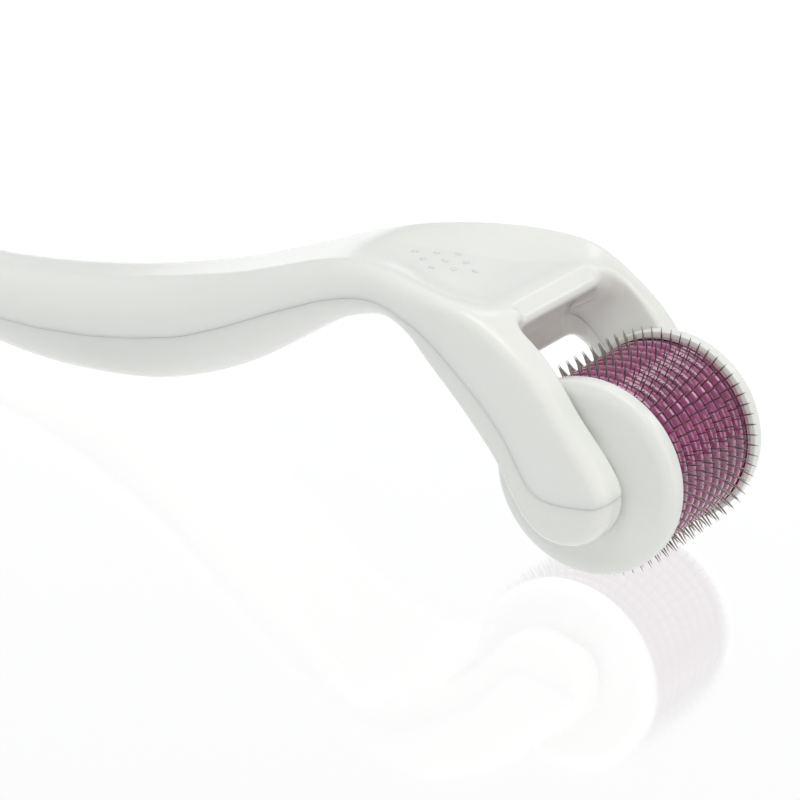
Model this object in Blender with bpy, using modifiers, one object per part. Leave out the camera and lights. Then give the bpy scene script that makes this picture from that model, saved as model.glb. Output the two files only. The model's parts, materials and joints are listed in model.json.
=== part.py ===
"""Derma roller: an S-curved two-shell handle whose fork carries a drum of needle discs.

The shapes are laid out in millimetres in a layout frame whose origin is the middle of the drum
axis: +X from the tail of the handle to the drum, +Y along the drum axis, +Z up.  The root empty
then tilts that frame about the drum axis, until the needle tips and the belly of the handle stand
on the plane z = 0, and centres the object over the origin.
"""

import math

import bmesh
import bpy
from mathutils import Vector

MM = 0.001

# Stance: tilt of the layout frame about the drum axis, and the drum axis in the object's frame.
TILT_DEG = -5.45
AXIS_X = 55.96
AXIS_Z = 13.0

# Drum stack.
TIP_R = 13.0
NEEDLE_ROOT_R = 10.6
NEEDLES = 60
NEEDLE_W = 0.46
DISCS = 9
PITCH = 2.0
DISC_T = 0.25
RING_R = 11.4
RING_CHAMFER = 0.35
RING_BORE_R = 6.7
STACK_GAP = 0.04
DRUM_W = 18.1
CAP_R = 12.0
CAP_T = 2.25
CAP_SIDE = 1.7
CAP_RIM = 1.3
CAP_RECESS = 0.85
CORE_R = 5.5
KEY_R = 6.5
KEY_W = 1.6
KEYS = 4
KEY_PLAY = 0.1
AXLE_R = 1.0
AXLE_LEN = 28.0
BORE_PLAY = 0.06

# Fork and handle.
HALF_HEAD = 16.0
BAY_HALF = 11.6
DECK_HALF = 9.0
WALL = 2.0
SHELL_GAP = 0.04
TIP_X = 5.7
TAIL_X = -125.0
SIDES = 40

# Handle, side view: top line, bottom line and parting line, as (x, z) stations.
TOP = [
    (-125.0, 5.1), (-124.0, 6.0), (-121.0, 6.7), (-116.0, 6.9), (-108.0, 6.5), (-100.0, 6.3),
    (-92.0, 6.7), (-84.0, 7.5), (-75.0, 8.8), (-67.0, 10.4), (-59.0, 12.3), (-52.0, 14.4),
    (-44.5, 17.1), (-37.0, 19.7), (-32.0, 20.9), (-28.0, 21.3), (-24.0, 21.25), (-20.0, 20.9),
    (-16.0, 20.1), (-13.0, 19.1), (-10.0, 17.5), (-6.2, 14.7), (-3.2, 12.0), (-0.4, 8.3),
    (2.6, 4.7), (4.8, 1.9), (5.5, 0.2), (5.7, -0.6),
]
BOTTOM = [
    (-125.0, 3.3), (-124.0, 2.4), (-121.0, 1.7), (-116.0, 0.7), (-108.0, -1.1), (-100.0, -2.8),
    (-94.0, -3.95), (-88.0, -4.65), (-82.0, -4.8), (-75.0, -4.5), (-68.0, -3.7), (-60.0, -1.4),
    (-52.0, 2.1), (-46.0, 5.6), (-40.0, 9.7), (-35.0, 12.5), (-30.0, 14.4), (-27.0, 15.1),
    (-24.0, 14.7), (-22.0, 13.8), (-19.2, 11.6), (-15.2, 8.1), (-11.4, 3.9), (-9.9, 2.1),
    (-8.6, 0.0), (-7.2, -2.6), (-5.4, -5.1), (-3.2, -6.7), (-0.6, -7.2), (2.3, -6.5),
    (4.3, -4.8), (5.4, -2.8), (5.7, -1.4),
]
HALF_WIDTH = [
    (-125.0, 1.8), (-124.0, 3.7), (-121.0, 5.8), (-116.0, 6.7), (-108.0, 7.2), (-100.0, 7.6),
    (-92.0, 8.0), (-84.0, 8.5), (-75.0, 9.0), (-67.0, 9.6), (-59.0, 10.3), (-52.0, 10.8),
    (-44.0, 11.2), (-37.0, 11.3), (-32.0, 11.8), (-28.0, 12.8), (-24.0, 14.2), (-20.0, 15.4),
    (-16.0, 16.0), (4.2, 16.0), (5.7, 15.4),
]
# Roundness of the grip's cross-sections: 2 is an ellipse, larger is boxier.
BOX_TOP = [(-125.0, 2.1), (-100.0, 2.4), (-50.0, 2.6), (-34.0, 3.0), (-24.0, 4.0)]
BOX_BOTTOM = [(-125.0, 2.1), (-100.0, 2.3), (-50.0, 2.4), (-34.0, 2.8), (-24.0, 3.5)]
# The head's cross-sections are boxes with this edge radius, blended in along the neck.
EDGE_R = 2.1
# Their sides are planed flat by this much, so that the fork can lie on either outer face.
SIDE_PLANED = 0.35
HEAD_BLEND = [(-38.0, 0.0), (-24.0, 1.0)]
# Depth of the thumb hollow in the deck; negative is a crown.
DISH = [(-38.0, 0.0), (-30.0, 1.0), (-24.0, 1.95), (-20.0, 2.4), (-15.5, 1.8), (-11.3, -0.15),
        (-9.0, -0.9), (-7.5, -1.5), (-5.5, -0.9), (-3.0, -0.3), (0.0, 0.0)]
PARTING = [
    (-130.0, 4.2), (-122.0, 4.3), (-116.0, 4.0), (-108.0, 2.9), (-100.0, 1.9), (-92.0, 1.5),
    (-84.0, 1.5), (-75.0, 2.3), (-67.0, 3.7), (-59.0, 5.7), (-52.0, 8.5), (-44.5, 11.9),
    (-37.0, 15.0), (-32.0, 16.5), (-28.7, 17.0), (-26.5, 17.0), (-24.0, 16.5), (-21.0, 15.8),
    (-18.8, 14.8), (-15.9, 12.8), (-14.6, 11.6), (-11.1, 8.5), (-7.7, 4.6), (-5.0, -0.4),
    (-3.6, -1.5), (-1.0, -1.8), (3.6, -1.4), (5.2, -0.9), (5.9, 0.1), (9.0, 0.2),
]
# Drum bay between the arms, side view: lip edge, back wall, lower edge, then round the drum.
BAY = [
    (-9.0, 16.5), (-12.8, 14.9), (-14.2, 13.2), (-14.6, 11.0), (-14.0, 8.3), (-19.6, 11.0),
    (-24.0, 7.0), (-24.0, -14.0), (14.0, -14.0), (14.0, 16.5),
]
LIP = [(-11.3, 18.35), (-9.0, 16.5), (-4.0, 16.5), (-4.0, 24.0), (-11.3, 24.0)]
POSTS = (-96.0, -74.0, -52.0)

WHITE = (0.86, 0.88, 0.86, 1.0)
BELLY_WHITE = (0.83, 0.85, 0.84, 1.0)
PURPLE = (0.34, 0.05, 0.22, 1.0)
STEEL = (0.42, 0.40, 0.38, 1.0)
NEEDLE = (0.36, 0.33, 0.31, 1.0)
CORE_GREY = (0.70, 0.70, 0.72, 1.0)


def clear_scene():
    for obj in list(bpy.data.objects):
        bpy.data.objects.remove(obj, do_unlink=True)


def collection(name):
    found = bpy.data.collections.new(name)
    bpy.context.scene.collection.children.link(found)
    return found


def material(name, colour, roughness, metallic=0.0):
    made = bpy.data.materials.new(name)
    made.use_nodes = True
    shader = made.node_tree.nodes["Principled BSDF"]
    shader.inputs["Base Color"].default_value = colour
    shader.inputs["Roughness"].default_value = roughness
    shader.inputs["Metallic"].default_value = metallic
    made.diffuse_color = colour
    return made


def station(points, x):
    """Value at x of the smooth line through the stations."""
    if x <= points[0][0]:
        return points[0][1]
    if x >= points[-1][0]:
        return points[-1][1]
    i = 0
    while points[i + 1][0] < x:
        i += 1

    def slope(k):
        a = points[max(k - 1, 0)]
        b = points[min(k + 1, len(points) - 1)]
        return (b[1] - a[1]) / (b[0] - a[0])

    (x0, y0), (x1, y1) = points[i], points[i + 1]
    h = x1 - x0
    t = (x - x0) / h
    m0 = slope(i) * h
    m1 = slope(i + 1) * h
    straight = y1 - y0
    if straight * m0 <= 0.0:
        m0 = 0.0
    if straight * m1 <= 0.0:
        m1 = 0.0
    a = 2 * t**3 - 3 * t**2 + 1
    b = t**3 - 2 * t**2 + t
    return a * y0 + b * m0 + (1 - a) * y1 + (t**3 - t**2) * m1


def section(x, inset=0.0, sides=SIDES):
    """Closed cross-section of the handle at x, as (y, z) points."""
    top = station(TOP, x) - inset
    bottom = station(BOTTOM, x) + inset
    half = station(HALF_WIDTH, x) - inset
    middle = 0.5 * (top + bottom)
    height = 0.5 * (top - bottom)
    blend = station(HEAD_BLEND, x)
    edge = min(EDGE_R, 0.9 * height, 0.9 * half)
    points = []
    for i in range(sides):
        angle = 2 * math.pi * i / sides
        c = math.cos(angle)
        s = math.sin(angle)
        box = station(BOX_TOP, x) if s >= 0 else station(BOX_BOTTOM, x)
        reach = (abs(c) ** box + abs(s) ** box) ** (-1.0 / box)
        square = min(1.0 / max(abs(c), 1e-9), 1.0 / max(abs(s), 1e-9))
        boxed_y = ((half + SIDE_PLANED - edge) * square + edge) * c
        boxed_y = min(max(boxed_y, -half), half)
        boxed_z = ((height - edge) * square + edge) * s
        y = (1.0 - blend) * half * reach * c + blend * boxed_y
        z = middle + (1.0 - blend) * height * reach * s + blend * boxed_z
        if s > 0.0:
            fall = min(max((abs(y) - 9.0) / 5.5, 0.0), 1.0)
            keep = 1.0 - fall * fall * (3 - 2 * fall)
            rise = min(max((z - middle) / height, 0.0), 1.0) ** 2
            z -= station(DISH, x) * keep * rise
        points.append((y, z))
    return points


def mesh_object(name, mesh, where):
    obj = bpy.data.objects.new(name, mesh)
    where.objects.link(obj)
    return obj


def loft(name, xs, inset, sides, where):
    """Closed skin through the handle's cross-sections at xs."""
    bm = bmesh.new()
    rings = []
    for x in xs:
        ring = [bm.verts.new((x * MM, y * MM, z * MM)) for y, z in section(x, inset, sides)]
        rings.append(ring)
    for a, b in zip(rings, rings[1:]):
        for i in range(sides):
            j = (i + 1) % sides
            bm.faces.new((a[i], b[i], b[j], a[j]))
    bm.faces.new(rings[0])
    bm.faces.new(list(reversed(rings[-1])))
    bmesh.ops.recalc_face_normals(bm, faces=bm.faces)
    mesh = bpy.data.meshes.new(name)
    bm.to_mesh(mesh)
    bm.free()
    return mesh_object(name, mesh, where)


def side_prism(name, outline, half, where):
    """Side-view outline (x, z) carried across from y = -half to +half."""
    bm = bmesh.new()
    ring = [bm.verts.new((x * MM, -half * MM, z * MM)) for x, z in outline]
    face = bm.faces.new(ring)
    made = bmesh.ops.extrude_face_region(bm, geom=[face])
    moved = [item for item in made["geom"] if isinstance(item, bmesh.types.BMVert)]
    bmesh.ops.translate(bm, verts=moved, vec=(0.0, 2 * half * MM, 0.0))
    bmesh.ops.recalc_face_normals(bm, faces=bm.faces)
    mesh = bpy.data.meshes.new(name)
    bm.to_mesh(mesh)
    bm.free()
    return mesh_object(name, mesh, where)


def hull(name, corners, where):
    """Convex solid round the corners, in mm."""
    bm = bmesh.new()
    verts = [bm.verts.new(Vector(corner) * MM) for corner in corners]
    bmesh.ops.convex_hull(bm, input=verts)
    bmesh.ops.recalc_face_normals(bm, faces=bm.faces)
    mesh = bpy.data.meshes.new(name)
    bm.to_mesh(mesh)
    bm.free()
    return mesh_object(name, mesh, where)


def cylinder(name, radius, length, centre, axis, sides, where):
    """Cylinder primitive; axis is Y or Z."""
    bm = bmesh.new()
    bmesh.ops.create_cone(
        bm, cap_ends=True, segments=sides, radius1=radius * MM, radius2=radius * MM,
        depth=length * MM,
    )
    mesh = bpy.data.meshes.new(name)
    bm.to_mesh(mesh)
    bm.free()
    obj = mesh_object(name, mesh, where)
    obj.location = Vector(centre) * MM
    if axis == "Y":
        obj.rotation_euler = (math.radians(90.0), 0.0, 0.0)
    return obj


def turned(name, profile, steps, where):
    """Solid turned about the object's Z axis, laid along Y; the profile is closed, (r, z)."""
    bm = bmesh.new()
    verts = [bm.verts.new((r * MM, 0.0, z * MM)) for r, z in profile]
    for i, vert in enumerate(verts):
        bm.edges.new((vert, verts[(i + 1) % len(verts)]))
    mesh = bpy.data.meshes.new(name)
    bm.to_mesh(mesh)
    bm.free()
    obj = mesh_object(name, mesh, where)
    screw = obj.modifiers.new("turn", "SCREW")
    screw.axis = "Z"
    screw.steps = steps
    screw.render_steps = steps
    screw.use_merge_vertices = True
    screw.merge_threshold = 0.00001
    screw.use_smooth_shade = True
    return obj


def flat_outline(name, loops, thickness, where):
    """Flat plate from closed loops (outline first, then holes), laid across the drum axis."""
    curve = bpy.data.curves.new(name, "CURVE")
    curve.dimensions = "2D"
    curve.fill_mode = "BOTH"
    curve.extrude = 0.5 * thickness * MM
    for loop in loops:
        spline = curve.splines.new("POLY")
        spline.points.add(len(loop) - 1)
        for point, (x, y) in zip(spline.points, loop):
            point.co = (x * MM, y * MM, 0.0, 1.0)
        spline.use_cyclic_u = True
    obj = bpy.data.objects.new(name, curve)
    where.objects.link(obj)
    return obj


def circle(radius, sides, turn=0.0):
    step = 2 * math.pi / sides
    return [
        (radius * math.cos(turn + i * step), radius * math.sin(turn + i * step))
        for i in range(sides)
    ]


def keyed_circle(radius, key_radius, key_width, per_key):
    """Circle with square keys standing out of it."""
    points = []
    half = math.asin(0.5 * key_width / radius)
    outer = math.asin(0.5 * key_width / key_radius)
    for k in range(KEYS):
        mid = 2 * math.pi * k / KEYS
        for r, a in ((radius, -half), (key_radius, -outer), (key_radius, outer), (radius, half)):
            points.append((r * math.cos(mid + a), r * math.sin(mid + a)))
        span = 2 * math.pi / KEYS - 2 * half
        for i in range(1, per_key):
            a = mid + half + span * i / per_key
            points.append((radius * math.cos(a), radius * math.sin(a)))
    return points


def toothed_circle():
    """Outline of a needle disc: needles standing out of the rim."""
    points = []
    half = 0.5 * NEEDLE_W / NEEDLE_ROOT_R
    for i in range(NEEDLES):
        mid = 2 * math.pi * i / NEEDLES
        for r, a in ((NEEDLE_ROOT_R, -half), (TIP_R, 0.0), (NEEDLE_ROOT_R, half)):
            points.append((r * math.cos(mid + a), r * math.sin(mid + a)))
    return points


def boolean(obj, other, operation):
    cut = obj.modifiers.new(operation.lower() + "_" + other.name, "BOOLEAN")
    cut.operation = operation
    cut.object = other
    cut.solver = "EXACT"


def hide_helpers(where):
    for obj in where.objects:
        obj.hide_render = True
        obj.display_type = "WIRE"


def lay_across(obj, y):
    """Turns a part made along Z to lie along the drum axis, with its middle at y."""
    obj.location = (0.0, y * MM, 0.0)
    obj.rotation_euler = (math.radians(-90.0), 0.0, 0.0)


def smooth(obj, degrees=40.0):
    obj.data.shade_smooth()
    obj.data.set_sharp_from_angle(angle=math.radians(degrees))


def handle(parts, helpers):
    """Two shells of the handle, cut from one lofted form."""
    xs = []
    steps = (
        (TAIL_X, -124.0, 1), (-124.0, -116.0, 4), (-116.0, -36.0, 16), (-36.0, -16.0, 10),
        (-16.0, -9.0, 5), (-9.0, 3.0, 8), (3.0, TIP_X, 4),
    )
    for start, end, count in steps:
        xs += [start + (end - start) * i / count for i in range(count)]
    xs.append(TIP_X)
    hollow_xs = [-117.0 + 5.0 * i for i in range(17)]
    cavity = loft("cavity", hollow_xs, WALL, 20, helpers)
    bay = side_prism("bay", BAY, BAY_HALF, helpers)
    lip = side_prism("lip_cut", LIP, DECK_HALF, helpers)
    ends = [(12.0, -40.0), (12.0, 40.0)]
    reliefs = []
    for side, word in ((-1, "near"), (1, "far")):
        corners = []
        for (x, z), depth in (((-20.2, 11.2), 6.0), ((-8.0, -2.4), 2.4)):
            inner = side * (BAY_HALF - 0.6)
            corners.append((x - 1.5, inner, z - 1.5))
            corners.append((x - 1.5, side * (BAY_HALF + 3.9), z - 1.5))
            corners.append((x + 0.72 * depth, inner, z + 0.69 * depth))
        reliefs.append(hull("relief_" + word, corners, helpers))
    seats = cylinder("axle_seats", AXLE_R + 0.05, AXLE_LEN + 0.3, (0, 0, 0), "Y", 24, helpers)
    shells = []
    for name, sign in (("handle_upper_shell", 1), ("handle_lower_shell", -1)):
        form = loft(name, xs, 0.0, SIDES, parts)
        line = [(x, z + sign * SHELL_GAP) for x, z in PARTING]
        far = 40.0 * sign
        outline = line + [(9.0, far), (-130.0, far)]
        half = side_prism(name + "_side", outline, 20.0, helpers)
        boolean(form, half, "INTERSECT")
        boolean(form, bay, "DIFFERENCE")
        boolean(form, cavity, "DIFFERENCE")
        for relief in reliefs:
            boolean(form, relief, "DIFFERENCE")
        if sign > 0:
            boolean(form, lip, "DIFFERENCE")
        boolean(form, seats, "DIFFERENCE")
        shells.append(form)
    upper, lower = shells
    for i, x in enumerate(POSTS):
        top = station(TOP, x) - 0.5 * WALL
        low = station(BOTTOM, x) + 0.5 * WALL
        line = station(PARTING, x)
        boss_len = top - line - 0.5
        boss = cylinder(
            "boss_%d" % i, 2.3, boss_len, (x, 0, line + 0.5 + 0.5 * boss_len), "Z", 12, helpers
        )
        socket = cylinder("socket_%d" % i, 1.35, 4.0, (x, 0, line + 1.5), "Z", 12, helpers)
        post_len = line + 2.4 - low
        post = cylinder("post_%d" % i, 1.1, post_len, (x, 0, low + 0.5 * post_len), "Z", 12, helpers)
        boolean(upper, boss, "UNION")
        boolean(upper, socket, "DIFFERENCE")
        boolean(lower, post, "UNION")
    for shell in shells:
        smooth(shell, 35.0)
    return upper, lower


def drum(parts):
    """Caps, core, needle discs and spacer rings, each laid across the drum axis."""
    made = []
    core_len = DRUM_W + 2 * (CAP_RECESS - 0.1)
    core = flat_outline(
        "drum_core",
        [keyed_circle(CORE_R, KEY_R, KEY_W, 5), circle(AXLE_R + BORE_PLAY, 24)],
        core_len,
        parts,
    )
    lay_across(core, 0.0)
    made.append((core, "core"))
    recess_r = KEY_R + 0.15
    inner = 0.0
    cap_profile = [
        (AXLE_R + BORE_PLAY, CAP_T),
        (CAP_R - CAP_RIM, CAP_T),
        (CAP_R - 0.5 * CAP_RIM, CAP_T - 0.17),
        (CAP_R, CAP_SIDE),
        (CAP_R, inner),
        (recess_r, inner),
        (recess_r, CAP_RECESS),
        (AXLE_R + BORE_PLAY, CAP_RECESS),
    ]
    for side, word in ((-1, "right"), (1, "left")):
        cap = turned("end_cap_" + word, cap_profile, 48, parts)
        cap.location = (0.0, side * 0.5 * DRUM_W * MM, 0.0)
        cap.rotation_euler = (math.radians(-90.0 * side), 0.0, 0.0)
        made.append((cap, "cap"))
    hole = keyed_circle(CORE_R + KEY_PLAY, KEY_R + KEY_PLAY, KEY_W + 2 * KEY_PLAY, 4)
    outline = toothed_circle()
    rows = [PITCH * (i - 0.5 * (DISCS - 1)) for i in range(DISCS)]
    for i, y in enumerate(rows):
        disc = flat_outline("needle_disc_%d" % (i + 1), [outline, hole], DISC_T, parts)
        lay_across(disc, y)
        made.append((disc, "needle"))
    edges = [-0.5 * DRUM_W - 0.5 * DISC_T] + rows + [0.5 * DRUM_W + 0.5 * DISC_T]
    for i, (a, b) in enumerate(zip(edges, edges[1:])):
        width = b - a - DISC_T - 2 * STACK_GAP
        h = 0.5 * width
        low = RING_R - RING_CHAMFER
        profile = [
            (RING_BORE_R, h), (low, h), (RING_R, h - RING_CHAMFER),
            (RING_R, RING_CHAMFER - h), (low, -h), (RING_BORE_R, -h),
        ]
        ring = turned("spacer_ring_%d" % (i + 1), profile, 36, parts)
        lay_across(ring, 0.5 * (a + b))
        made.append((ring, "ring"))
    return made


def main():
    clear_scene()
    parts = collection("derma_roller")
    helpers = collection("helpers")
    root = bpy.data.objects.new("root", None)
    parts.objects.link(root)
    root.location = (AXIS_X * MM, 0.0, AXIS_Z * MM)
    root.rotation_euler = (0.0, math.radians(TILT_DEG), 0.0)
    axis = bpy.data.objects.new("drum_axis", None)
    parts.objects.link(axis)
    axis.parent = root

    looks = {
        "upper": material("upper_white", WHITE, 0.18),
        "lower": material("lower_white", BELLY_WHITE, 0.18),
        "cap": material("cap_white", WHITE, 0.3),
        "ring": material("ring_purple", PURPLE, 0.2),
        "needle": material("needle_steel", NEEDLE, 0.3, 1.0),
        "axle": material("axle_steel", STEEL, 0.25, 1.0),
        "core": material("core_grey", CORE_GREY, 0.45),
    }
    upper, lower = handle(parts, helpers)
    for helper in helpers.objects:
        helper.parent = root
    pin = cylinder("axle_pin", AXLE_R, AXLE_LEN, (0, 0, 0), "Y", 24, parts)
    smooth(pin)
    placed = [(upper, "upper", root), (lower, "lower", root), (pin, "axle", root)]
    placed += [(obj, look, axis) for obj, look in drum(parts)]
    for obj, look, parent in placed:
        obj.data.materials.append(looks[look])
        obj.parent = parent
    hide_helpers(helpers)


main()
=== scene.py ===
import json
import math

import bpy
import numpy as np
from mathutils import Matrix, Vector


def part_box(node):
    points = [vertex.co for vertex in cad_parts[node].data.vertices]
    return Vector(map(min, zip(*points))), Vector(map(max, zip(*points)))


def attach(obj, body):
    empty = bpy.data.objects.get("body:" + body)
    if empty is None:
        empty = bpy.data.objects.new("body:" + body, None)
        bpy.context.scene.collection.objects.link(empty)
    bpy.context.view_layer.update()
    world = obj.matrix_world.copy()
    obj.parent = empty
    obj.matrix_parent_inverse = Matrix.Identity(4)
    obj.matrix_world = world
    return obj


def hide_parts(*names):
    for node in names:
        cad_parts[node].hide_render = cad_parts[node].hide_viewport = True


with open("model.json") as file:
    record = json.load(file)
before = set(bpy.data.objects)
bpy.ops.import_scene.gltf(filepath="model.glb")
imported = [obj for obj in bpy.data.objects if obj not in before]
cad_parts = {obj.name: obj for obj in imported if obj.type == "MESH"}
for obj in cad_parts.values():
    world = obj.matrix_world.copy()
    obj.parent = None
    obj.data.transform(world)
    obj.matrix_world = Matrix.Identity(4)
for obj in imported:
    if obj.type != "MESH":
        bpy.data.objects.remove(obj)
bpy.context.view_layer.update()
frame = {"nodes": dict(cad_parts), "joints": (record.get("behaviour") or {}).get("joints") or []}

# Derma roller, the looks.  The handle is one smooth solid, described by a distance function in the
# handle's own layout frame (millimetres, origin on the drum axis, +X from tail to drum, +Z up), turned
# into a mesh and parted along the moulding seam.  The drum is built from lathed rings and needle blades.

MM = 0.001
JOINT = frame["joints"][0]
# The stance: how far the layout frame leans about the drum axis.
TILT = math.radians(-5.45)
LEAN = Matrix.Rotation(TILT, 4, "Y")
LAYOUT = Matrix.Translation(Vector(JOINT["pos_m"])) @ LEAN @ Matrix.Scale(MM, 4)

# Camera, in the layout frame: heading and dip in degrees, and the drum centre as it sees it
# (right, down, ahead), in millimetres.
CAM_HEADING = 56.91
CAM_DIP = 21.02
DRUM_FROM_CAM = (27.366, 5.906, 356.536)
CAM_LENS = 135.0

# Side view of the handle, as (x, z): along the top from tail to tip, then along the bottom.
TOP = [
    (-126.0, 5.1), (-125.0, 6.0), (-122.0, 6.7), (-116.0, 6.9), (-108.0, 6.5), (-100.0, 6.3),
    (-92.0, 6.7), (-84.0, 7.5), (-75.0, 8.8), (-67.0, 10.4), (-59.0, 12.3), (-52.0, 14.4),
    (-44.5, 17.1), (-37.0, 19.5), (-32.0, 20.35), (-28.0, 20.6), (-24.0, 20.5), (-20.0, 20.2),
    (-16.0, 19.75), (-13.0, 19.05), (-10.0, 17.5), (-6.2, 14.8), (-3.2, 12.1), (-0.4, 8.4),
    (2.6, 4.9), (4.8, 2.0), (5.6, 0.3), (5.7, -0.9),
]
BOTTOM = [
    (-126.0, 3.3), (-125.0, 2.4), (-122.0, 1.7), (-116.0, 0.7), (-108.0, -1.1), (-100.0, -2.8),
    (-94.0, -3.95), (-88.0, -4.65), (-82.0, -4.8), (-75.0, -4.5), (-68.0, -3.7), (-60.0, -1.4),
    (-52.0, 2.1), (-46.0, 5.6), (-40.0, 9.7), (-35.0, 12.5), (-30.0, 14.4), (-27.0, 15.1),
    (-24.0, 14.7), (-22.0, 13.8), (-19.2, 11.6), (-15.2, 8.1), (-11.4, 3.9), (-9.9, 2.1),
    (-8.6, 0.0), (-7.2, -2.6), (-5.4, -5.1), (-3.2, -6.7), (-0.6, -7.2), (2.3, -6.5),
    (4.3, -4.8), (5.4, -2.8),
]
HALF_WIDTH = [
    (-126.0, 1.8), (-125.0, 3.7), (-122.0, 5.8), (-116.0, 6.7), (-108.0, 7.2), (-100.0, 7.6),
    (-92.0, 8.0), (-84.0, 8.5), (-75.0, 9.0), (-67.0, 9.6), (-59.0, 10.3), (-52.0, 10.8),
    (-44.0, 11.2), (-37.0, 11.4), (-32.0, 11.9), (-28.0, 12.9), (-24.0, 14.3), (-20.0, 15.5),
    (-16.0, 16.0), (-8.0, 16.0), (16.0, 16.0),
]
PARTING = [
    (-130.0, 4.2), (-122.0, 4.3), (-116.0, 4.0), (-108.0, 2.9), (-100.0, 1.9), (-92.0, 1.5),
    (-84.0, 1.5), (-75.0, 2.3), (-67.0, 3.7), (-59.0, 5.7), (-52.0, 8.5), (-44.5, 11.9),
    (-37.0, 15.0), (-32.0, 16.5), (-28.7, 17.0), (-26.5, 17.0), (-24.0, 16.5), (-21.0, 15.8),
    (-18.8, 14.8), (-15.9, 12.8), (-14.6, 11.6), (-11.1, 8.5), (-7.7, 4.6), (-5.0, -0.4),
    (-3.6, -1.5), (-1.0, -1.8), (3.6, -1.4), (5.2, -0.9), (5.9, 0.1), (9.0, 0.2),
]
# Depth of the thumb hollow along the middle, and the crown in front of it, where it is negative.
DISH = [
    (-40.0, 0.0), (-36.0, 0.2), (-30.0, 1.3), (-24.0, 1.9), (-20.0, 2.1), (-15.5, 1.5),
    (-11.3, -0.3), (-9.0, -1.1), (-7.5, -1.7), (-5.5, -1.2), (-3.0, -0.4), (0.0, 0.0), (9.0, 0.0),
]
# Radius of the long edges, and how much the sides taper away from the seam.
EDGE = [
    (-130.0, 2.4), (-118.0, 4.0), (-100.0, 4.9), (-60.0, 5.2), (-40.0, 3.6), (-26.0, 1.8),
    (-18.0, 1.35), (-4.0, 1.35), (2.0, 1.8), (9.0, 1.8),
]
TAPER = [(-130.0, 0.10), (-60.0, 0.22), (-40.0, 0.20), (-26.0, 0.06), (-16.0, 0.02), (9.0, 0.02)]
# Drum bay in side view: within the lip's half width, and between the arms.
LIP_BAY = [
    (-11.3, 32.0), (-11.3, 18.4), (-9.0, 16.5), (-9.3, 16.2), (-12.8, 14.9), (-14.2, 13.2),
    (-14.6, 11.0), (-14.2, 8.6), (-15.6, 4.0), (-16.0, -16.0), (18.0, -16.0), (18.0, 32.0),
]
ARM_BAY = [
    (-9.7, 32.0), (-9.7, 15.6), (-10.6, 14.3), (-12.8, 13.0), (-14.4, 12.0), (-14.6, 11.0),
    (-14.2, 8.6), (-15.6, 4.0), (-16.0, -16.0), (18.0, -16.0), (18.0, 32.0),
]
LIP_HALF = 9.1
ARM_INNER = 11.6
ARM_OUTER = 16.0
PAST_TIP = 18.0
# The long edge of the bay is rounded to BAY_EDGE behind a slanting plane, through BAY_TURN and square
# to BAY_FACING, and BAY_SHARPER less than that in front of it.
BAY_EDGE = 2.6
BAY_SHARPER = 1.9
BAY_TURN = (-17.0, 14.5)
BAY_FACING = (0.69, 0.72)

# The thumb hollow: it opens at HOLLOW_START, widens to HOLLOW_HALF and ends RIM_WIDTH short of the
# long edges.  It is full down to HOLLOW_SKIN below the top line and dies out over HOLLOW_FADE.
HOLLOW_START = -34.0
HOLLOW_WIDENING = 0.40
HOLLOW_HALF = 9.0
RIM_WIDTH = 1.2
HOLLOW_SKIN = 2.5
HOLLOW_FADE = 5.0
# Between the arms, the lower edge of the bridge hangs this much below the arms' own.
BRIDGE_DROP = 0.7

# The seam follows the parting line, and runs level under the lip.  Each shell is drawn back from it by
# SEAM_GAP, by SEAM_BEVEL gaps at the very surface, and has a wall: (gaps back, depth) down its steps.
LIP_SEAM_Z = 16.15
LIP_SEAM_HALF = 9.25
SEAM_GAP = 0.009
SEAM_BEVEL = 2.2
SEAM_WALL = ((1.0, 0.05), (0.9, 0.4))

# Passes of fairing: the more there are, the softer the curve.
OUTLINE_PASSES = 2600
BROAD_PASSES = 900
CLOSE_PASSES = 300
PARTING_PASSES = 150
LIP_BAY_PASSES = 8
ARM_BAY_PASSES = 60
# The head from HEAD_START on, and the tail behind TAIL_END, are faired much less than the grip.
HEAD_START = -44.0
TAIL_END = -117.0
HELD = 0.94

# Spacing of the mesh grid and of the tables, the grid's box on the side of +Y, and the tables' boxes.
GRID = 0.3
FINE = 0.1
GRID_LOW = (-127.2, 0.0, -8.1)
GRID_SIZE = (134.1, 17.1, 30.9)
SIDE_BOX = ((-128.0, -10.0), (8.0, 24.0))
PLAN_BOX = ((-128.0, -1.0), (8.0, 18.0))
BAY_BOX = ((-18.0, -10.0), (8.0, 26.0))

# The drum: steps round a turn, and radii of the bore, of the discs' solid part and of the needles' roots.
RING_STEPS = 180
COLLAR_STEPS = 120
CAP_STEPS = 200
BORE = 6.8
COLLAR = 10.8
NEEDLE_ROOT = 10.7
NEEDLES_IN_ROW = 60
# How far each row of needles is turned from the first, in degrees; the stack isn't indexed finely.
ROW_TURN = (0.0, 0.9, 0.3, 1.7, 1.1, 2.4, 1.8, 3.3, 2.7)
# One needle: (share of its length, half width, half thickness), and the corners of its section.
NEEDLE = (
    (0.0, 0.07, 0.07), (0.25, 0.07, 0.07), (0.40, 0.095, 0.08), (0.52, 0.11, 0.085),
    (0.68, 0.09, 0.07), (0.84, 0.055, 0.045), (0.95, 0.025, 0.02), (1.0, 0.006, 0.006),
)
NEEDLE_SECTION = ((1, 0), (0.55, 1), (-0.55, 1), (-1, 0), (-0.55, -1), (0.55, -1))
# Spacer ring: width and fillet of the bevels either side of its flat, and fillet where they end.
RING_BEVEL = 0.42
RING_FILLET = 0.30
RING_SHOULDER = 0.12

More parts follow.
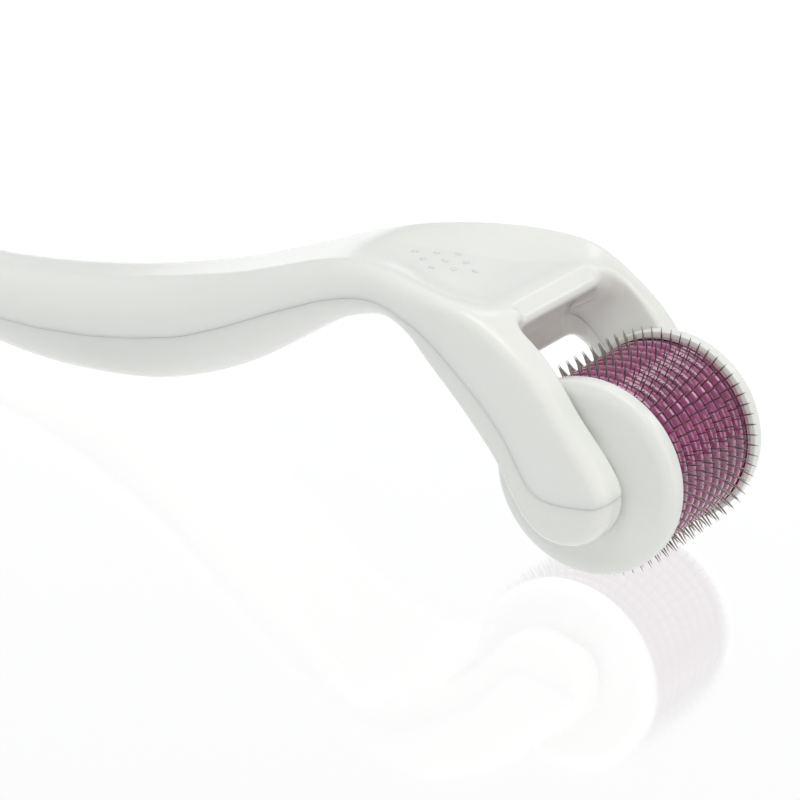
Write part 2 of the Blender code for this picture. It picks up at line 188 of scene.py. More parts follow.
# Grip dots on the thumb deck: (x, y) of each, radius, height of the dome and how far it is sunk.
DOTS = (
    (-30.5, 0.0), (-28.3, -1.5), (-28.3, 1.5), (-26.1, -3.0), (-26.1, 0.0), (-26.1, 3.0),
    (-23.9, -1.5), (-23.9, 1.5), (-21.7, 0.0),
)
DECK_Z = 19.5
DOT_RADIUS = 0.42
DOT_DOME = 0.20
DOT_SUNK = 0.04
DOT_RINGS = 5
DOT_SIDES = 20


# Curves and distances in the plane.

# Power of the chord that sets a curve's parameter, its steps per span, and points measured at a time.
CHORD_POWER = 0.7
SPAN_STEPS = 200
BATCH = 20000


def smoothstep(t):
    t = np.clip(t, 0.0, 1.0)
    return t * t * (3.0 - 2.0 * t)


def closed_spline(points, spacing):
    """Evenly spaced points on the smooth closed curve through the given ones."""
    p = np.array(points, float)
    n = len(p)
    span = np.linalg.norm(np.roll(p, -1, 0) - p, axis=1) ** CHORD_POWER
    system = np.zeros((n, n))
    pull = np.zeros((n, 2))
    for i in range(n):
        before = (i - 1) % n
        after = (i + 1) % n
        system[i, before] += span[before]
        system[i, i] += 2.0 * (span[before] + span[i])
        system[i, after] += span[i]
        pull[i] = 6.0 * ((p[after] - p[i]) / span[i] - (p[i] - p[before]) / span[before])
    bend = np.linalg.solve(system, pull)
    t = np.linspace(0.0, 1.0, SPAN_STEPS, endpoint=False)[:, None]
    parts = []
    for i in range(n):
        after = (i + 1) % n
        curl = ((1 - t) ** 3 - (1 - t)) * bend[i] + (t ** 3 - t) * bend[after]
        parts.append((1 - t) * p[i] + t * p[after] + span[i] ** 2 / 6.0 * curl)
    return even_spacing(np.concatenate(parts), spacing)


def even_spacing(loop, spacing):
    """The closed polyline resampled at an even spacing."""
    closed = np.concatenate([loop, loop[:1]])
    run = np.concatenate([[0.0], np.cumsum(np.linalg.norm(np.diff(closed, axis=0), axis=1))])
    at = np.linspace(0.0, run[-1], int(run[-1] / spacing), endpoint=False)
    return np.stack([np.interp(at, run, closed[:, k]) for k in range(2)], axis=1)


def faired(loop, strength, passes):
    """The closed polyline with small kinks ironed out."""
    for _ in range(passes):
        loop = loop + 0.25 * strength[:, None] * (np.roll(loop, 1, 0) + np.roll(loop, -1, 0) - 2 * loop)
    return loop


def open_table(points, passes):
    """Stations (x, value) as a fine, faired table for np.interp."""
    p = np.array(points, float)
    x = np.arange(p[0, 0], p[-1, 0], FINE)
    v = np.interp(x, p[:, 0], p[:, 1])
    for _ in range(passes):
        v[1:-1] += 0.25 * (v[2:] + v[:-2] - 2 * v[1:-1])
    return x, v


class Plane:
    """Signed distance to a closed curve, negative inside, tabulated on a fine grid."""

    def __init__(self, loop, low, high):
        self.low = np.array(low, float)
        count = ((np.array(high) - self.low) / FINE).astype(int) + 1
        u, v = np.meshgrid(*[self.low[k] + FINE * np.arange(count[k]) for k in range(2)], indexing="ij")
        ends = np.roll(loop, -1, 0)
        x, y = loop.T
        self.turn = np.sign(np.sum(x * ends[:, 1] - y * ends[:, 0]))
        q = np.stack([u.ravel(), v.ravel()], axis=1)
        batches = np.array_split(q, max(1, len(q) // BATCH))
        found = [self.measure(loop, ends, batch) for batch in batches]
        self.table = np.concatenate(found).reshape(count)

    def measure(self, loop, ends, q):
        """Distance of each point in q: the nearest of every 12th loop point first, then the spans there."""
        stride = 12
        rough = loop[::stride]
        gap = (q[:, :1] - rough[:, 0]) ** 2 + (q[:, 1:] - rough[:, 1]) ** 2
        near = gap.argmin(axis=1) * stride
        spans = (near[:, None] + np.arange(-stride - 2, stride + 2)) % len(loop)
        a = loop[spans]
        d = ends[spans] - a
        w = q[:, None, :] - a
        t = np.clip((w * d).sum(-1) / (d * d).sum(-1), 0.0, 1.0)
        off = w - t[..., None] * d
        size = (off * off).sum(-1)
        best = size.argmin(axis=1)
        row = np.arange(len(q))
        d = d[row, best]
        off = w[row, best]
        side = d[:, 0] * off[:, 1] - d[:, 1] * off[:, 0]
        return -self.turn * np.sign(side) * np.sqrt(size[row, best])

    def __call__(self, u, v):
        """Smooth interpolation in the table."""
        count = self.table.shape
        total = 0.0
        weights = []
        cells = []
        for k, value in enumerate((u, v)):
            f = np.clip((value - self.low[k]) / FINE, 1.001, count[k] - 3.001)
            i = f.astype(int)
            t = f - i
            cells.append(i)
            weights.append((
                t * (-0.5 + t * (1.0 - 0.5 * t)),
                1.0 + t * t * (-2.5 + 1.5 * t),
                t * (0.5 + t * (2.0 - 1.5 * t)),
                t * t * (-0.5 + 0.5 * t),
            ))
        for a in range(4):
            for b in range(4):
                known = self.table[cells[0] + a - 1, cells[1] + b - 1]
                total = total + weights[0][a] * weights[1][b] * known
        return total


def round_max(a, b, r):
    """The larger of two distances, with the edge between them rounded to radius r."""
    corner = np.hypot(np.maximum(a + r, 0.0), np.maximum(b + r, 0.0))
    return np.minimum(np.maximum(a, b), -r) + corner


class Handle:
    """Distance function of the whole handle, and of its seam."""

    def __init__(self):
        outline = closed_spline(TOP + BOTTOM[::-1], FINE)
        x = outline[:, 0]
        held = smoothstep((x - HEAD_START) / 10.0) + smoothstep((TAIL_END - x) / 4.0)
        outline = faired(outline, 1.0 - HELD * held, OUTLINE_PASSES)
        self.side = Plane(outline, *SIDE_BOX)
        self.width = open_table(HALF_WIDTH, BROAD_PASSES)
        x_run, w_run = self.width
        plan = np.concatenate([
            np.stack([x_run, w_run], axis=1),
            np.array([[PAST_TIP, ARM_OUTER], [PAST_TIP, -ARM_OUTER]]),
            np.stack([x_run[::-1], -w_run[::-1]], axis=1),
        ])
        plan = even_spacing(plan, FINE)
        self.plan = Plane(plan, *PLAN_BOX)
        self.top = open_table(TOP[:-1] + [(9.0, -6.0)], CLOSE_PASSES)
        self.parting = open_table(PARTING, PARTING_PASSES)
        self.dish = open_table(DISH, CLOSE_PASSES)
        self.edge = open_table(EDGE, BROAD_PASSES)
        self.taper = open_table(TAPER, BROAD_PASSES)
        lip = even_spacing(np.array(LIP_BAY), FINE)
        arm = even_spacing(np.array(ARM_BAY), FINE)
        self.lip_bay = Plane(faired(lip, np.ones(len(lip)), LIP_BAY_PASSES), *BAY_BOX)
        self.arm_bay = Plane(faired(arm, np.ones(len(arm)), ARM_BAY_PASSES), *BAY_BOX)

    def distance(self, x, y, z):
        ay = np.abs(y)
        width = np.interp(x, *self.width)
        top = np.interp(x, *self.top)
        floor_half = np.clip((x - HOLLOW_START) * HOLLOW_WIDENING, 0.0, HOLLOW_HALF)
        rim = np.maximum(width - RIM_WIDTH, floor_half + 1.0)
        across = 1.0 - smoothstep((ay - floor_half) / (rim - floor_half))
        upper = np.clip(1.0 - (top - z - HOLLOW_SKIN) / HOLLOW_FADE, 0.0, 1.0) ** 2
        hollow = np.interp(x, *self.dish) * across * upper
        between = BRIDGE_DROP * smoothstep((ARM_INNER - ay) / 2.0) * smoothstep((x + 26.0) / 6.0)
        low = smoothstep((13.0 - z) / 3.0)
        side = self.side(x, z + hollow + between * low)
        lean = np.sqrt((z - np.interp(x, *self.parting)) ** 2 + 0.5)
        plan = self.plan(x, ay) + np.interp(x, *self.taper) * lean
        body = round_max(side, plan, np.interp(x, *self.edge))
        lip = round_max(self.lip_bay(x, z), ay - LIP_HALF, 0.8)
        arm = round_max(self.arm_bay(x, z), ay - ARM_INNER, 2.2)
        ahead = (x - BAY_TURN[0]) * BAY_FACING[0] + (z - BAY_TURN[1]) * BAY_FACING[1]
        body = round_max(body, -arm, BAY_EDGE - BAY_SHARPER * smoothstep((ahead + 3.0) / 3.0))
        return round_max(body, -lip, 0.4)

    def seam(self, x, y, z):
        """Positive on the upper shell."""
        main = z - np.interp(x, *self.parting)
        wall = smoothstep((LIP_SEAM_HALF - np.abs(y)) / 0.4) * smoothstep((x + 24.0) / 4.0)
        return main + wall * (z - LIP_SEAM_Z - main)


def gradient(function, p, step=0.02):
    """Gradient of a distance function at each point."""
    parts = []
    for k in range(3):
        ahead = p.copy()
        behind = p.copy()
        ahead[:, k] += step
        behind[:, k] -= step
        parts.append((function(*ahead.T) - function(*behind.T)) / (2 * step))
    return np.stack(parts, axis=1)


def settled(function, p, passes):
    """The points moved onto the zero surface of the function."""
    for _ in range(passes):
        slope = gradient(function, p)
        move = function(*p.T) / np.maximum((slope ** 2).sum(1), 0.05)
        p = p - np.clip(move, -GRID, GRID)[:, None] * slope
    return p


def surface_net(values, low):
    """Points and outward-facing quads of the zero surface of a grid of distances."""
    inside = values < 0
    corners = [(i, j, k) for i in (0, 1) for j in (0, 1) for k in (0, 1)]
    shape = [n - 1 for n in values.shape]

    def shifted(grid, c):
        return grid[c[0]:c[0] + shape[0], c[1]:c[1] + shape[1], c[2]:c[2] + shape[2]]

    count = sum(shifted(inside, c).astype(np.int8) for c in corners)
    active = (count > 0) & (count < 8)
    cells = np.argwhere(active)
    number = np.full(shape, -1)
    number[active] = np.arange(len(cells))
    at = {c: values[tuple((cells + c).T)] for c in corners}
    total = np.zeros((len(cells), 3))
    hits = np.zeros(len(cells))
    for a in corners:
        for k in range(3):
            if a[k]:
                continue
            b = tuple(1 if n == k else a[n] for n in range(3))
            cross = (at[a] < 0) != (at[b] < 0)
            t = np.where(cross, at[a] / np.where(cross, at[a] - at[b], 1.0), 0.0)
            spot = np.array(a, float) + t[:, None] * (np.array(b, float) - np.array(a, float))
            total += np.where(cross[:, None], spot, 0.0)
            hits += cross
    points = low + GRID * (cells + total / hits[:, None])
    quads = []
    for k in range(3):
        u, v = (k + 1) % 3, (k + 2) % 3
        first = [slice(1, -1)] * 3
        second = [slice(1, -1)] * 3
        first[k] = slice(0, -1)
        second[k] = slice(1, None)
        a = inside[tuple(first)]
        b = inside[tuple(second)]
        for low_in, mask in ((True, a & ~b), (False, ~a & b)):
            edge = np.argwhere(mask)
            edge[:, u] += 1
            edge[:, v] += 1
            ring = []
            for du, dv in ((0, 0), (-1, 0), (-1, -1), (0, -1)):
                cell = edge.copy()
                cell[:, u] += du
                cell[:, v] += dv
                ring.append(number[tuple(cell.T)])
            ring = np.stack(ring, axis=1)
            quads.append(ring if low_in else ring[:, ::-1])
    return points, np.concatenate(quads)


def triangulated(p, quads):
    """Each quad split along its shorter diagonal."""
    first = np.linalg.norm(p[quads[:, 0]] - p[quads[:, 2]], axis=1)
    second = np.linalg.norm(p[quads[:, 1]] - p[quads[:, 3]], axis=1)
    cut = (first <= second)[:, None]
    one = np.where(cut, quads[:, [0, 1, 2]], quads[:, [1, 2, 3]])
    two = np.where(cut, quads[:, [0, 2, 3]], quads[:, [1, 3, 0]])
    return np.concatenate([one, two])


def edges_of(faces):
    """Every edge of the triangles once, as a pair of point numbers."""
    ends = np.concatenate([faces[:, [0, 1]], faces[:, [1, 2]], faces[:, [2, 0]]])
    return np.unique(np.sort(ends, axis=1), axis=0)


def relaxed(p, edges, share):
    """Each point moved part of the way to the mean of its neighbours."""
    total = np.zeros_like(p)
    count = np.zeros(len(p))
    for a, b in ((0, 1), (1, 0)):
        np.add.at(total, edges[:, a], p[edges[:, b]])
        np.add.at(count, edges[:, a], 1)
    return p + share * (total / count[:, None] - p)


def handle_mesh(handle):
    """Points and triangles of the handle, with mesh edges along the seam, and its seam values."""
    low = np.array(GRID_LOW)
    steps = [int(size / GRID) for size in GRID_SIZE]
    axes = [low[k] + GRID * np.arange(steps[k] + 1) for k in range(3)]
    slabs = []
    for x in np.array_split(axes[0], 12):
        grid = np.meshgrid(x, axes[1], axes[2], indexing="ij")
        slabs.append(handle.distance(*grid))
    half = np.concatenate(slabs)
    values = np.concatenate([half[:, :0:-1], half], axis=1)
    p, quads = surface_net(values, np.array([low[0], -axes[1][-1], low[2]]))
    p = settled(handle.distance, p, 2)
    faces = triangulated(p, quads)
    edges = edges_of(faces)
    for _ in range(2):
        p = settled(handle.distance, relaxed(p, edges, 0.5), 1)
    side = handle.seam(*p.T)
    crossed = edges[side[edges[:, 0]] * side[edges[:, 1]] < 0]
    nearer = np.abs(side[crossed]).argmin(axis=1)
    on_seam = np.unique(crossed[np.arange(len(crossed)), nearer])
    moved = p[on_seam]
    for _ in range(3):
        normal = gradient(handle.distance, moved)
        normal /= np.linalg.norm(normal, axis=1)[:, None]
        across = gradient(handle.seam, moved)
        across -= (across * normal).sum(1)[:, None] * normal
        share = handle.seam(*moved.T) / np.maximum((across ** 2).sum(1), 0.2)
        moved = moved - np.clip(share, -GRID, GRID)[:, None] * across
        moved = settled(handle.distance, moved, 1)
    p[on_seam] = moved
    side[on_seam] = 0.0
    return p, faces, side


def shell_half(handle, p, faces, side, sign):
    """One shell: its part of the surface, drawn back a little from the seam and turned inwards."""
    share = side[faces].sum(axis=1) * sign
    middle = p[faces].mean(axis=1)
    flat = np.abs(share) < 1e-9
    share[flat] = (handle.seam(*middle[flat].T)) * sign
    mine = faces[share > 0]
    used, index = np.unique(mine, return_inverse=True)
    mine = index.reshape(-1, 3)
    points = p[used].copy()
    ends = np.concatenate([mine[:, [0, 1]], mine[:, [1, 2]], mine[:, [2, 0]]])
    key = ends.min(1) * len(points) + ends.max(1)
    _, first, count = np.unique(key, return_index=True, return_counts=True)
    rim = ends[first[count == 1]]
    border = np.unique(rim)
    normal = gradient(handle.distance, points[border])
    normal /= np.linalg.norm(normal, axis=1)[:, None]
    away = gradient(handle.seam, points[border]) * sign
    away -= (away * normal).sum(1)[:, None] * normal
    away /= np.maximum(np.linalg.norm(away, axis=1), 0.3)[:, None]
    seat = points[border].copy()
    points[border] = seat + away * (SEAM_BEVEL * SEAM_GAP)
    rings = [border]
    extra = []
    for back, depth in SEAM_WALL:
        rings.append(len(points) + sum(len(e) for e in extra) + np.arange(len(border)))
        extra.append(seat + away * (back * SEAM_GAP) - normal * depth)
    points = np.concatenate([points] + extra)
    place = np.full(len(used), -1)
    place[border] = np.arange(len(border))
    a, b = place[rim[:, 0]], place[rim[:, 1]]
    walls = []
    for outer, inner in zip(rings, rings[1:]):
        walls.append(np.stack([outer[b], outer[a], inner[a]], axis=1))
        walls.append(np.stack([outer[b], inner[a], inner[b]], axis=1))
    return points, np.concatenate([mine] + walls)


# Meshes and pieces.

def mesh_from(name, points, faces):
    """A mesh object from arrays in the layout frame, placed in the row frame."""
    mesh = bpy.data.meshes.new(name)
    sides = faces.shape[1]
    mesh.vertices.add(len(points))
    mesh.vertices.foreach_set("co", np.asarray(points, np.float32).ravel())
    mesh.loops.add(faces.size)
    mesh.loops.foreach_set("vertex_index", np.asarray(faces, np.int32).ravel())
    mesh.polygons.add(len(faces))
    mesh.polygons.foreach_set("loop_start", np.arange(0, faces.size, sides, dtype=np.int32))
    mesh.update(calc_edges=True)
    mesh.validate()
    mesh.transform(LAYOUT)
    mesh.shade_smooth()
    obj = bpy.data.objects.new(name, mesh)
    bpy.context.scene.collection.objects.link(obj)
    return obj


def piece(obj, body, material, slot, *nodes):
    """Gives the object its material and its body, and hides the CAD nodes it stands for; slot is not used.
    """
    obj.data.materials.clear()
    obj.data.materials.append(material)
    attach(obj, body)
    if nodes:
        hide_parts(*nodes)
    return obj


def lathed(profile, steps):
    """Points and quads of a closed profile (radius, y) turned about the drum axis."""
    profile = np.array(profile, float)
    n = len(profile)
    angle = 2 * math.pi * np.arange(steps) / steps
    r = profile[:, 0]
    points = np.stack([
        np.outer(np.cos(angle), r),
        np.tile(profile[:, 1], (steps, 1)),
        np.outer(np.sin(angle), r),
    ], axis=2).reshape(-1, 3)
    i, j = np.meshgrid(np.arange(steps), np.arange(n), indexing="ij")
    here = i * n + j
    right = ((i + 1) % steps) * n + j
    up = i * n + (j + 1) % n
    both = ((i + 1) % steps) * n + (j + 1) % n
    quads = np.stack([here, up, both, right], axis=2).reshape(-1, 4)
    return points, quads


def rounded(corners, steps=5):
    """A closed profile from (radius, y, fillet) corners, each fillet an arc."""
    out = []
    n = len(corners)
    for i, (r, y, fillet) in enumerate(corners):
        here = np.array([r, y])
        back = np.array(corners[i - 1][:2]) - here
        ahead = np.array(corners[(i + 1) % n][:2]) - here
        if fillet <= 0:
            out.append(here)
            continue
        back /= np.linalg.norm(back)
        ahead /= np.linalg.norm(ahead)
        for k in range(steps + 1):
            t = k / steps
            out.append(here + back * fillet * (1 - t) ** 2 + ahead * fillet * t ** 2)
    return np.array(out)


def sharp(obj, degrees):
    """Edges that turn more than the angle are shaded as sharp."""
    obj.data.set_sharp_from_angle(angle=math.radians(degrees))


# Materials.

def new_material(name, colour, roughness, **sockets):
    """A Principled material with constant values on its sockets."""
    made = bpy.data.materials.new(name)
    made.use_nodes = True
    shader = made.node_tree.nodes["Principled BSDF"]
    shader.inputs["Base Color"].default_value = (*colour, 1.0)
    shader.inputs["Roughness"].default_value = roughness
    for key, value in sockets.items():
        shader.inputs[key.replace("_", " ")].default_value = value
    return made


def add_detail(made, colours, scales, roughness, bump):
    """Colour and roughness that wander between two values with broad and fine noise, in object space.

    bump is the strength and the height of the relief, which follows the fine noise.
    """
    nodes = made.node_tree.nodes
    links = made.node_tree.links
    shader = nodes["Principled BSDF"]
    place = nodes.new("ShaderNodeTexCoord")
    broad = nodes.new("ShaderNodeTexNoise")
    broad.inputs["Scale"].default_value = scales[0]
    broad.inputs["Detail"].default_value = 4.0
    fine = nodes.new("ShaderNodeTexNoise")
    fine.inputs["Scale"].default_value = scales[1]
    fine.inputs["Detail"].default_value = 6.0
    ramp = nodes.new("ShaderNodeValToRGB")
    ramp.color_ramp.elements[0].position = 0.35
    ramp.color_ramp.elements[1].position = 0.65
    ramp.color_ramp.elements[0].color = (*colours[0], 1.0)
    ramp.color_ramp.elements[1].color = (*colours[1], 1.0)
    spread = nodes.new("ShaderNodeMapRange")
    spread.inputs["To Min"].default_value = roughness[0]
    spread.inputs["To Max"].default_value = roughness[1]
    relief = nodes.new("ShaderNodeBump")
    relief.inputs["Strength"].default_value = bump[0]
    relief.inputs["Distance"].default_value = bump[1]
    links.new(place.outputs["Object"], broad.inputs["Vector"])
    links.new(place.outputs["Object"], fine.inputs["Vector"])
    links.new(broad.outputs["Fac"], ramp.inputs["Fac"])
    links.new(ramp.outputs["Color"], shader.inputs["Base Color"])
    links.new(fine.outputs["Fac"], spread.inputs["Value"])
    links.new(spread.outputs["Result"], shader.inputs["Roughness"])
    links.new(fine.outputs["Fac"], relief.inputs["Height"])
    links.new(relief.outputs["Normal"], shader.inputs["Normal"])
    return made


def white_plastic(name, light, dark):
    made = new_material(
        name, light, 0.2, IOR=1.36, Coat_Weight=0.15, Coat_Roughness=0.05,
        Subsurface_Weight=0.4, Subsurface_Scale=0.002, Subsurface_Radius=(1.0, 0.9, 0.75),
    )
    return add_detail(made, (dark, light), (60.0, 2600.0), (0.16, 0.27), (0.05, 0.00002))


def make_materials():
    return {
        "upper": white_plastic("upper_white", (0.865, 0.88, 0.86), (0.845, 0.862, 0.84)),
        # The same white plastic as the upper shell, made a shade darker: painted shade for the lower shell,
        # which faces down and to the side.
        "lower": white_plastic("lower_white", (0.85, 0.865, 0.84), (0.83, 0.848, 0.82)),
        "cap": white_plastic("cap_white", (0.85, 0.87, 0.845), (0.83, 0.85, 0.825)),
        "ring": add_detail(
            new_material(
                "ring_purple", (0.29, 0.02, 0.14), 0.12,
                Transmission_Weight=0.2, IOR=1.49, Coat_Weight=1.0, Coat_Roughness=0.03, Coat_IOR=1.7,
            ),
            ((0.24, 0.015, 0.115), (0.36, 0.03, 0.18)), (180.0, 3000.0), (0.08, 0.18), (0.05, 0.00002),
        ),
        "needle": add_detail(
            new_material("needle_steel", (0.30, 0.27, 0.255), 0.3, Metallic=1.0),
            ((0.24, 0.21, 0.195), (0.36, 0.33, 0.31)), (900.0, 9000.0), (0.22, 0.42), (0.1, 0.00001),
        ),
        "pin": add_detail(
            new_material("pin_steel", (0.45, 0.44, 0.42), 0.3, Metallic=1.0),
            ((0.38, 0.37, 0.36), (0.5, 0.49, 0.47)), (200.0, 4000.0), (0.22, 0.4), (0.1, 0.00001),
        ),
        "core": add_detail(
            new_material("core_grey", (0.70, 0.70, 0.72), 0.4),
            ((0.66, 0.66, 0.68), (0.73, 0.73, 0.75)), (120.0, 2500.0), (0.35, 0.5), (0.08, 0.00002),
        ),
    }


# Sub-assemblies.

def make_handle(materials):
    handle = Handle()
    p, faces, side = handle_mesh(handle)
    for word, sign in (("upper", 1.0), ("lower", -1.0)):
        points, triangles = shell_half(handle, p, faces, side, sign)
        obj = mesh_from("moulded_shell_" + word, points, triangles)
        sharp(obj, 50)
        piece(obj, "handle", materials[word], "white_plastic", f"handle_{word}_shell")
    return handle


def radius_and_span(node):
    """Outer radius, and the lowest and highest y, of a turned node, in millimetres."""
    low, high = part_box(node)
    return (high.z - low.z) / 2 / MM, low.y / MM, high.y / MM


def make_rings(materials):
    for i in range(1, 11):
        r, low, high = radius_and_span(f"spacer_ring_{i}")
        corners = [
            (r, low + RING_BEVEL, RING_FILLET), (r, high - RING_BEVEL, RING_FILLET),
            (r - RING_BEVEL, high, RING_SHOULDER), (BORE, high, 0.0),
            (BORE, low, 0.0), (r - RING_BEVEL, low, RING_SHOULDER),
        ]
        points, quads = lathed(rounded(corners), RING_STEPS)
        obj = mesh_from(f"tinted_ring_{i}", points, quads)
        sharp(obj, 50)
        piece(obj, "roller", materials["ring"], "ring_plastic", f"spacer_ring_{i}")


def blade(tip, root):
    """One lance-shaped needle along +X: points in rings, from its root to its tip."""
    points = []
    for t, half_width, half_thick in NEEDLE:
        for u, v in NEEDLE_SECTION:
            points.append((root + t * (tip - root), v * half_thick, u * half_width))
    sides = len(NEEDLE_SECTION)
    faces = []
    for ring in range(len(NEEDLE) - 1):
        for k in range(sides):
            a = ring * sides + k
            b = ring * sides + (k + 1) % sides
            faces.append((a, b, b + sides, a + sides))
    return np.array(points), np.array(faces)


def make_needles(materials):
    for i in range(1, 10):
        tip, low, high = radius_and_span(f"needle_disc_{i}")
        middle = (low + high) / 2
        collar = [(COLLAR, low), (COLLAR, high), (BORE, high), (BORE, low)]
        points, quads = lathed(collar, COLLAR_STEPS)
        every = [points]
        faces = [quads]
        start = len(points)
        one, one_faces = blade(tip, NEEDLE_ROOT)
        x, y, z = one.T
        for k in range(NEEDLES_IN_ROW):
            angle = 2 * math.pi * k / NEEDLES_IN_ROW + math.radians(ROW_TURN[i - 1])
            c, s = math.cos(angle), math.sin(angle)
            turned = np.stack([x * c - z * s, y + middle, x * s + z * c], axis=1)
            every.append(turned)
            faces.append(one_faces + start)
            start += len(turned)
        obj = mesh_from(f"needle_row_{i}", np.concatenate(every), np.concatenate(faces))
        sharp(obj, 35)
        piece(obj, "roller", materials["needle"], "needle_steel", f"needle_disc_{i}")


def make_caps(materials):
    """Plain caps: a rounded rim, a faintly dished face and a shallow raised hub."""
    for word, sign in (("left", 1.0), ("right", -1.0)):
        r, low, high = radius_and_span(f"end_cap_{word}")
        inner, outer = (low, high) if sign > 0 else (high, low)
        corners = [
            (r, inner, 0.12), (r, outer - sign * 0.5, 0.5), (r - 1.2, outer, 0.7),
            (r - 3.4, outer - sign * 0.22, 1.5), (5.2, outer - sign * 0.3, 0.8),
            (4.2, outer - sign * 0.02, 0.4), (1.2, outer - sign * 0.02, 0.1), (1.2, inner, 0.0),
        ]
        points, quads = lathed(rounded(corners, 8), CAP_STEPS)
        if sign < 0:
            quads = quads[:, ::-1]
        obj = mesh_from(f"drum_cap_{word}", points, quads)
        sharp(obj, 60)
        piece(obj, "roller", materials["cap"], "cap_plastic", f"end_cap_{word}")


def make_dots(handle, material):
    """A small grip pattern of raised dots on the thumb deck."""
    every = []
    faces = []
    for x, y in DOTS:
        start = len(every)
        spot = settled(handle.distance, np.array([[x, y, DECK_Z]]), 12)
        normal = gradient(handle.distance, spot)[0]
        normal /= np.linalg.norm(normal)
        across = np.cross(normal, (0.0, 1.0, 0.0))
        across /= np.linalg.norm(across)
        along = np.cross(normal, across)
        every.append(spot[0] + normal * (DOT_DOME - DOT_SUNK))
        for ring in range(1, DOT_RINGS + 1):
            t = 0.5 * math.pi * ring / DOT_RINGS
            height = DOT_DOME * math.cos(t) - DOT_SUNK
            for s in range(DOT_SIDES):
                a = 2 * math.pi * s / DOT_SIDES
                outward = across * math.cos(a) + along * math.sin(a)
                every.append(spot[0] + outward * DOT_RADIUS * math.sin(t) + normal * height)
        for s in range(DOT_SIDES):
            faces.append((start, start + 1 + s, start + 1 + (s + 1) % DOT_SIDES))
        for ring in range(DOT_RINGS - 1):
            for s in range(DOT_SIDES):
                a = start + 1 + ring * DOT_SIDES + s
                b = start + 1 + ring * DOT_SIDES + (s + 1) % DOT_SIDES
                faces.append((a, b + DOT_SIDES, b))
                faces.append((a, a + DOT_SIDES, b + DOT_SIDES))
    obj = mesh_from("grip_dots", np.array(every), np.array(faces))
    piece(obj, "handle", material, "white_plastic")


def dress_cad_nodes(materials):
    """The pieces that stay as the CAD has them get their finish."""
    for node, key, slot in (("axle_pin", "pin", "pin_steel"), ("drum_core", "core", "core_plastic")):
        obj = frame["nodes"][node]
        obj.data.materials.clear()
        obj.data.materials.append(materials[key])


# Stage.

# Softboxes, in the row frame: place, size, watts and colour, all aimed at LIGHT_TARGET.
LIGHT_TARGET = (0.02, 0.0, 0.01)
PLAIN = (1.0, 1.0, 1.0)
WARM = (1.0, 0.985, 0.955)
AMBER = (1.0, 0.93, 0.86)
SOFTBOXES = {
    "softbox_top": ((0.06, -0.14, 0.60), (0.44, 0.36), 1.5, WARM),
    "softbox_front": ((0.30, -0.50, 0.24), (0.36, 0.36), 0.36, WARM),
    "softbox_fill": ((0.42, -0.08, 0.16), (0.20, 0.20), 0.22, AMBER),
    "softbox_back": ((0.24, 0.45, 0.32), (0.12, 0.12), 0.10, PLAIN),
    "softbox_far": ((-0.10, 0.46, 0.36), (0.10, 0.10), 0.05, PLAIN),
}

# The studio is brightest behind and above the object, and dim on the camera's side.  Its levels run
# with the cosine of the angle to BRIGHT_SIDE, over STUDIO_SPAN: (share of the span, level, tint).
BRIGHT_SIDE = (-0.42, 0.65, 0.75)
STUDIO_SPAN = (-0.6, 0.9)
STUDIO = (
    (0.0, 0.27, (0.99, 1.0, 0.985)),
    (1.0, 0.66, (0.985, 1.0, 1.0)),
    (0.55, 0.45, (0.985, 1.0, 0.995)),
)

# The floor glows white of itself and mirrors faintly: no shadow, only a pale mirror image.  It lies just
# below the object, so that the two never share a plane.
FLOOR_GLOW = 0.80
FLOOR_MIRROR = 0.25
FLOOR_ROUGHNESS = 0.09
FLOOR_HALF = 30.0
FLOOR_BELOW = 0.0001


def make_floor():
    """The floor, which is part of the stage and not of the object."""
    mesh = bpy.data.meshes.new("floor")
    half = FLOOR_HALF
    corners = [(-half, -half, 0), (half, -half, 0), (half, half, 0), (-half, half, 0)]
    mesh.from_pydata(corners, [], [(0, 1, 2, 3)])
    floor = bpy.data.objects.new("floor", mesh)
    bpy.context.scene.collection.objects.link(floor)
    made = new_material(
        "floor_white", (FLOOR_MIRROR,) * 3, FLOOR_ROUGHNESS, Metallic=1.0,
        Emission_Color=(1.0, 1.0, 1.0, 1.0), Emission_Strength=FLOOR_GLOW,
    )
    mesh.materials.append(made)
    floor.location.z = -FLOOR_BELOW
    return floor


def area_light(name, place, size, power, tint, unlit):
    """A softbox aimed at the object, with the collection that it doesn't light or show in."""
    light = bpy.data.lights.new(name, "AREA")
    light.shape = "RECTANGLE"
    light.size, light.size_y = size
    light.energy = power
    light.color = tint
    obj = bpy.data.objects.new(name, light)
    obj.location = place
    aim = Vector(LIGHT_TARGET) - Vector(place)
    obj.rotation_euler = aim.to_track_quat("-Z", "Y").to_euler()
    bpy.context.scene.collection.objects.link(obj)
    obj.light_linking.receiver_collection = unlit


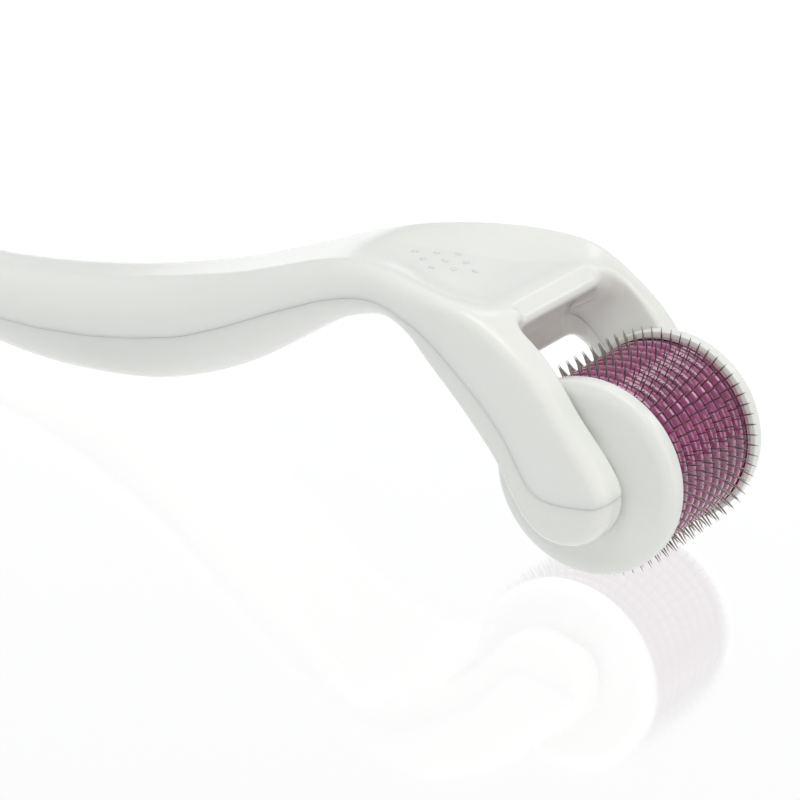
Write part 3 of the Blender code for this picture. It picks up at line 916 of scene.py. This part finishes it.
def make_world():
    """A plain studio round the object, without edges."""
    world = bpy.data.worlds.new("studio")
    bpy.context.scene.world = world
    world.use_nodes = True
    nodes = world.node_tree.nodes
    links = world.node_tree.links
    place = nodes.new("ShaderNodeTexCoord")
    toward = nodes.new("ShaderNodeVectorMath")
    toward.operation = "DOT_PRODUCT"
    toward.inputs[1].default_value = Vector(BRIGHT_SIDE).normalized()
    ramp = nodes.new("ShaderNodeValToRGB")
    spots = ramp.color_ramp.elements
    for k, (share, level, tint) in enumerate(STUDIO):
        spot = spots[k] if k < 2 else spots.new(share)
        spot.position = share
        spot.color = (*[level * c for c in tint], 1.0)
    shift = nodes.new("ShaderNodeMapRange")
    shift.inputs["From Min"].default_value = STUDIO_SPAN[0]
    shift.inputs["From Max"].default_value = STUDIO_SPAN[1]
    links.new(place.outputs["Generated"], toward.inputs[0])
    links.new(toward.outputs["Value"], shift.inputs["Value"])
    links.new(shift.outputs["Result"], ramp.inputs["Fac"])
    links.new(ramp.outputs["Color"], nodes["Background"].inputs["Color"])
    nodes["Background"].inputs["Strength"].default_value = 1.0


def make_lights(floor):
    """The softboxes, which light everything but the floor."""
    unlit = bpy.data.collections.new("no_softboxes")
    unlit.objects.link(floor)
    unlit.collection_objects[0].light_linking.link_state = "EXCLUDE"
    for name, (place, size, power, tint) in SOFTBOXES.items():
        area_light(name, place, size, power, tint, unlit)


def make_camera():
    """The camera, from its place and turn in the layout frame."""
    a = math.radians(CAM_HEADING)
    t = math.radians(CAM_DIP)
    right = Vector((math.sin(a), math.cos(a), 0.0))
    down = Vector((math.sin(t) * math.cos(a), -math.sin(t) * math.sin(a), -math.cos(t)))
    ahead = Vector((-math.cos(t) * math.cos(a), math.cos(t) * math.sin(a), -math.sin(t)))
    place = -(DRUM_FROM_CAM[0] * right + DRUM_FROM_CAM[1] * down + DRUM_FROM_CAM[2] * ahead)
    turn = Matrix((right, -down, -ahead)).transposed().to_4x4()
    camera = bpy.data.cameras.new("camera")
    camera.lens = CAM_LENS
    camera.sensor_width = 36.0
    camera.clip_start = 0.01
    obj = bpy.data.objects.new("camera", camera)
    obj.matrix_world = Matrix.Translation(LAYOUT @ place) @ LEAN @ turn
    bpy.context.scene.collection.objects.link(obj)
    bpy.context.scene.camera = obj
    bpy.context.scene.view_settings.view_transform = "Standard"


make_camera()
MATERIALS = make_materials()
HANDLE = make_handle(MATERIALS)
make_dots(HANDLE, MATERIALS["upper"])
make_rings(MATERIALS)
make_needles(MATERIALS)
make_caps(MATERIALS)
dress_cad_nodes(MATERIALS)
make_world()
make_lights(make_floor())
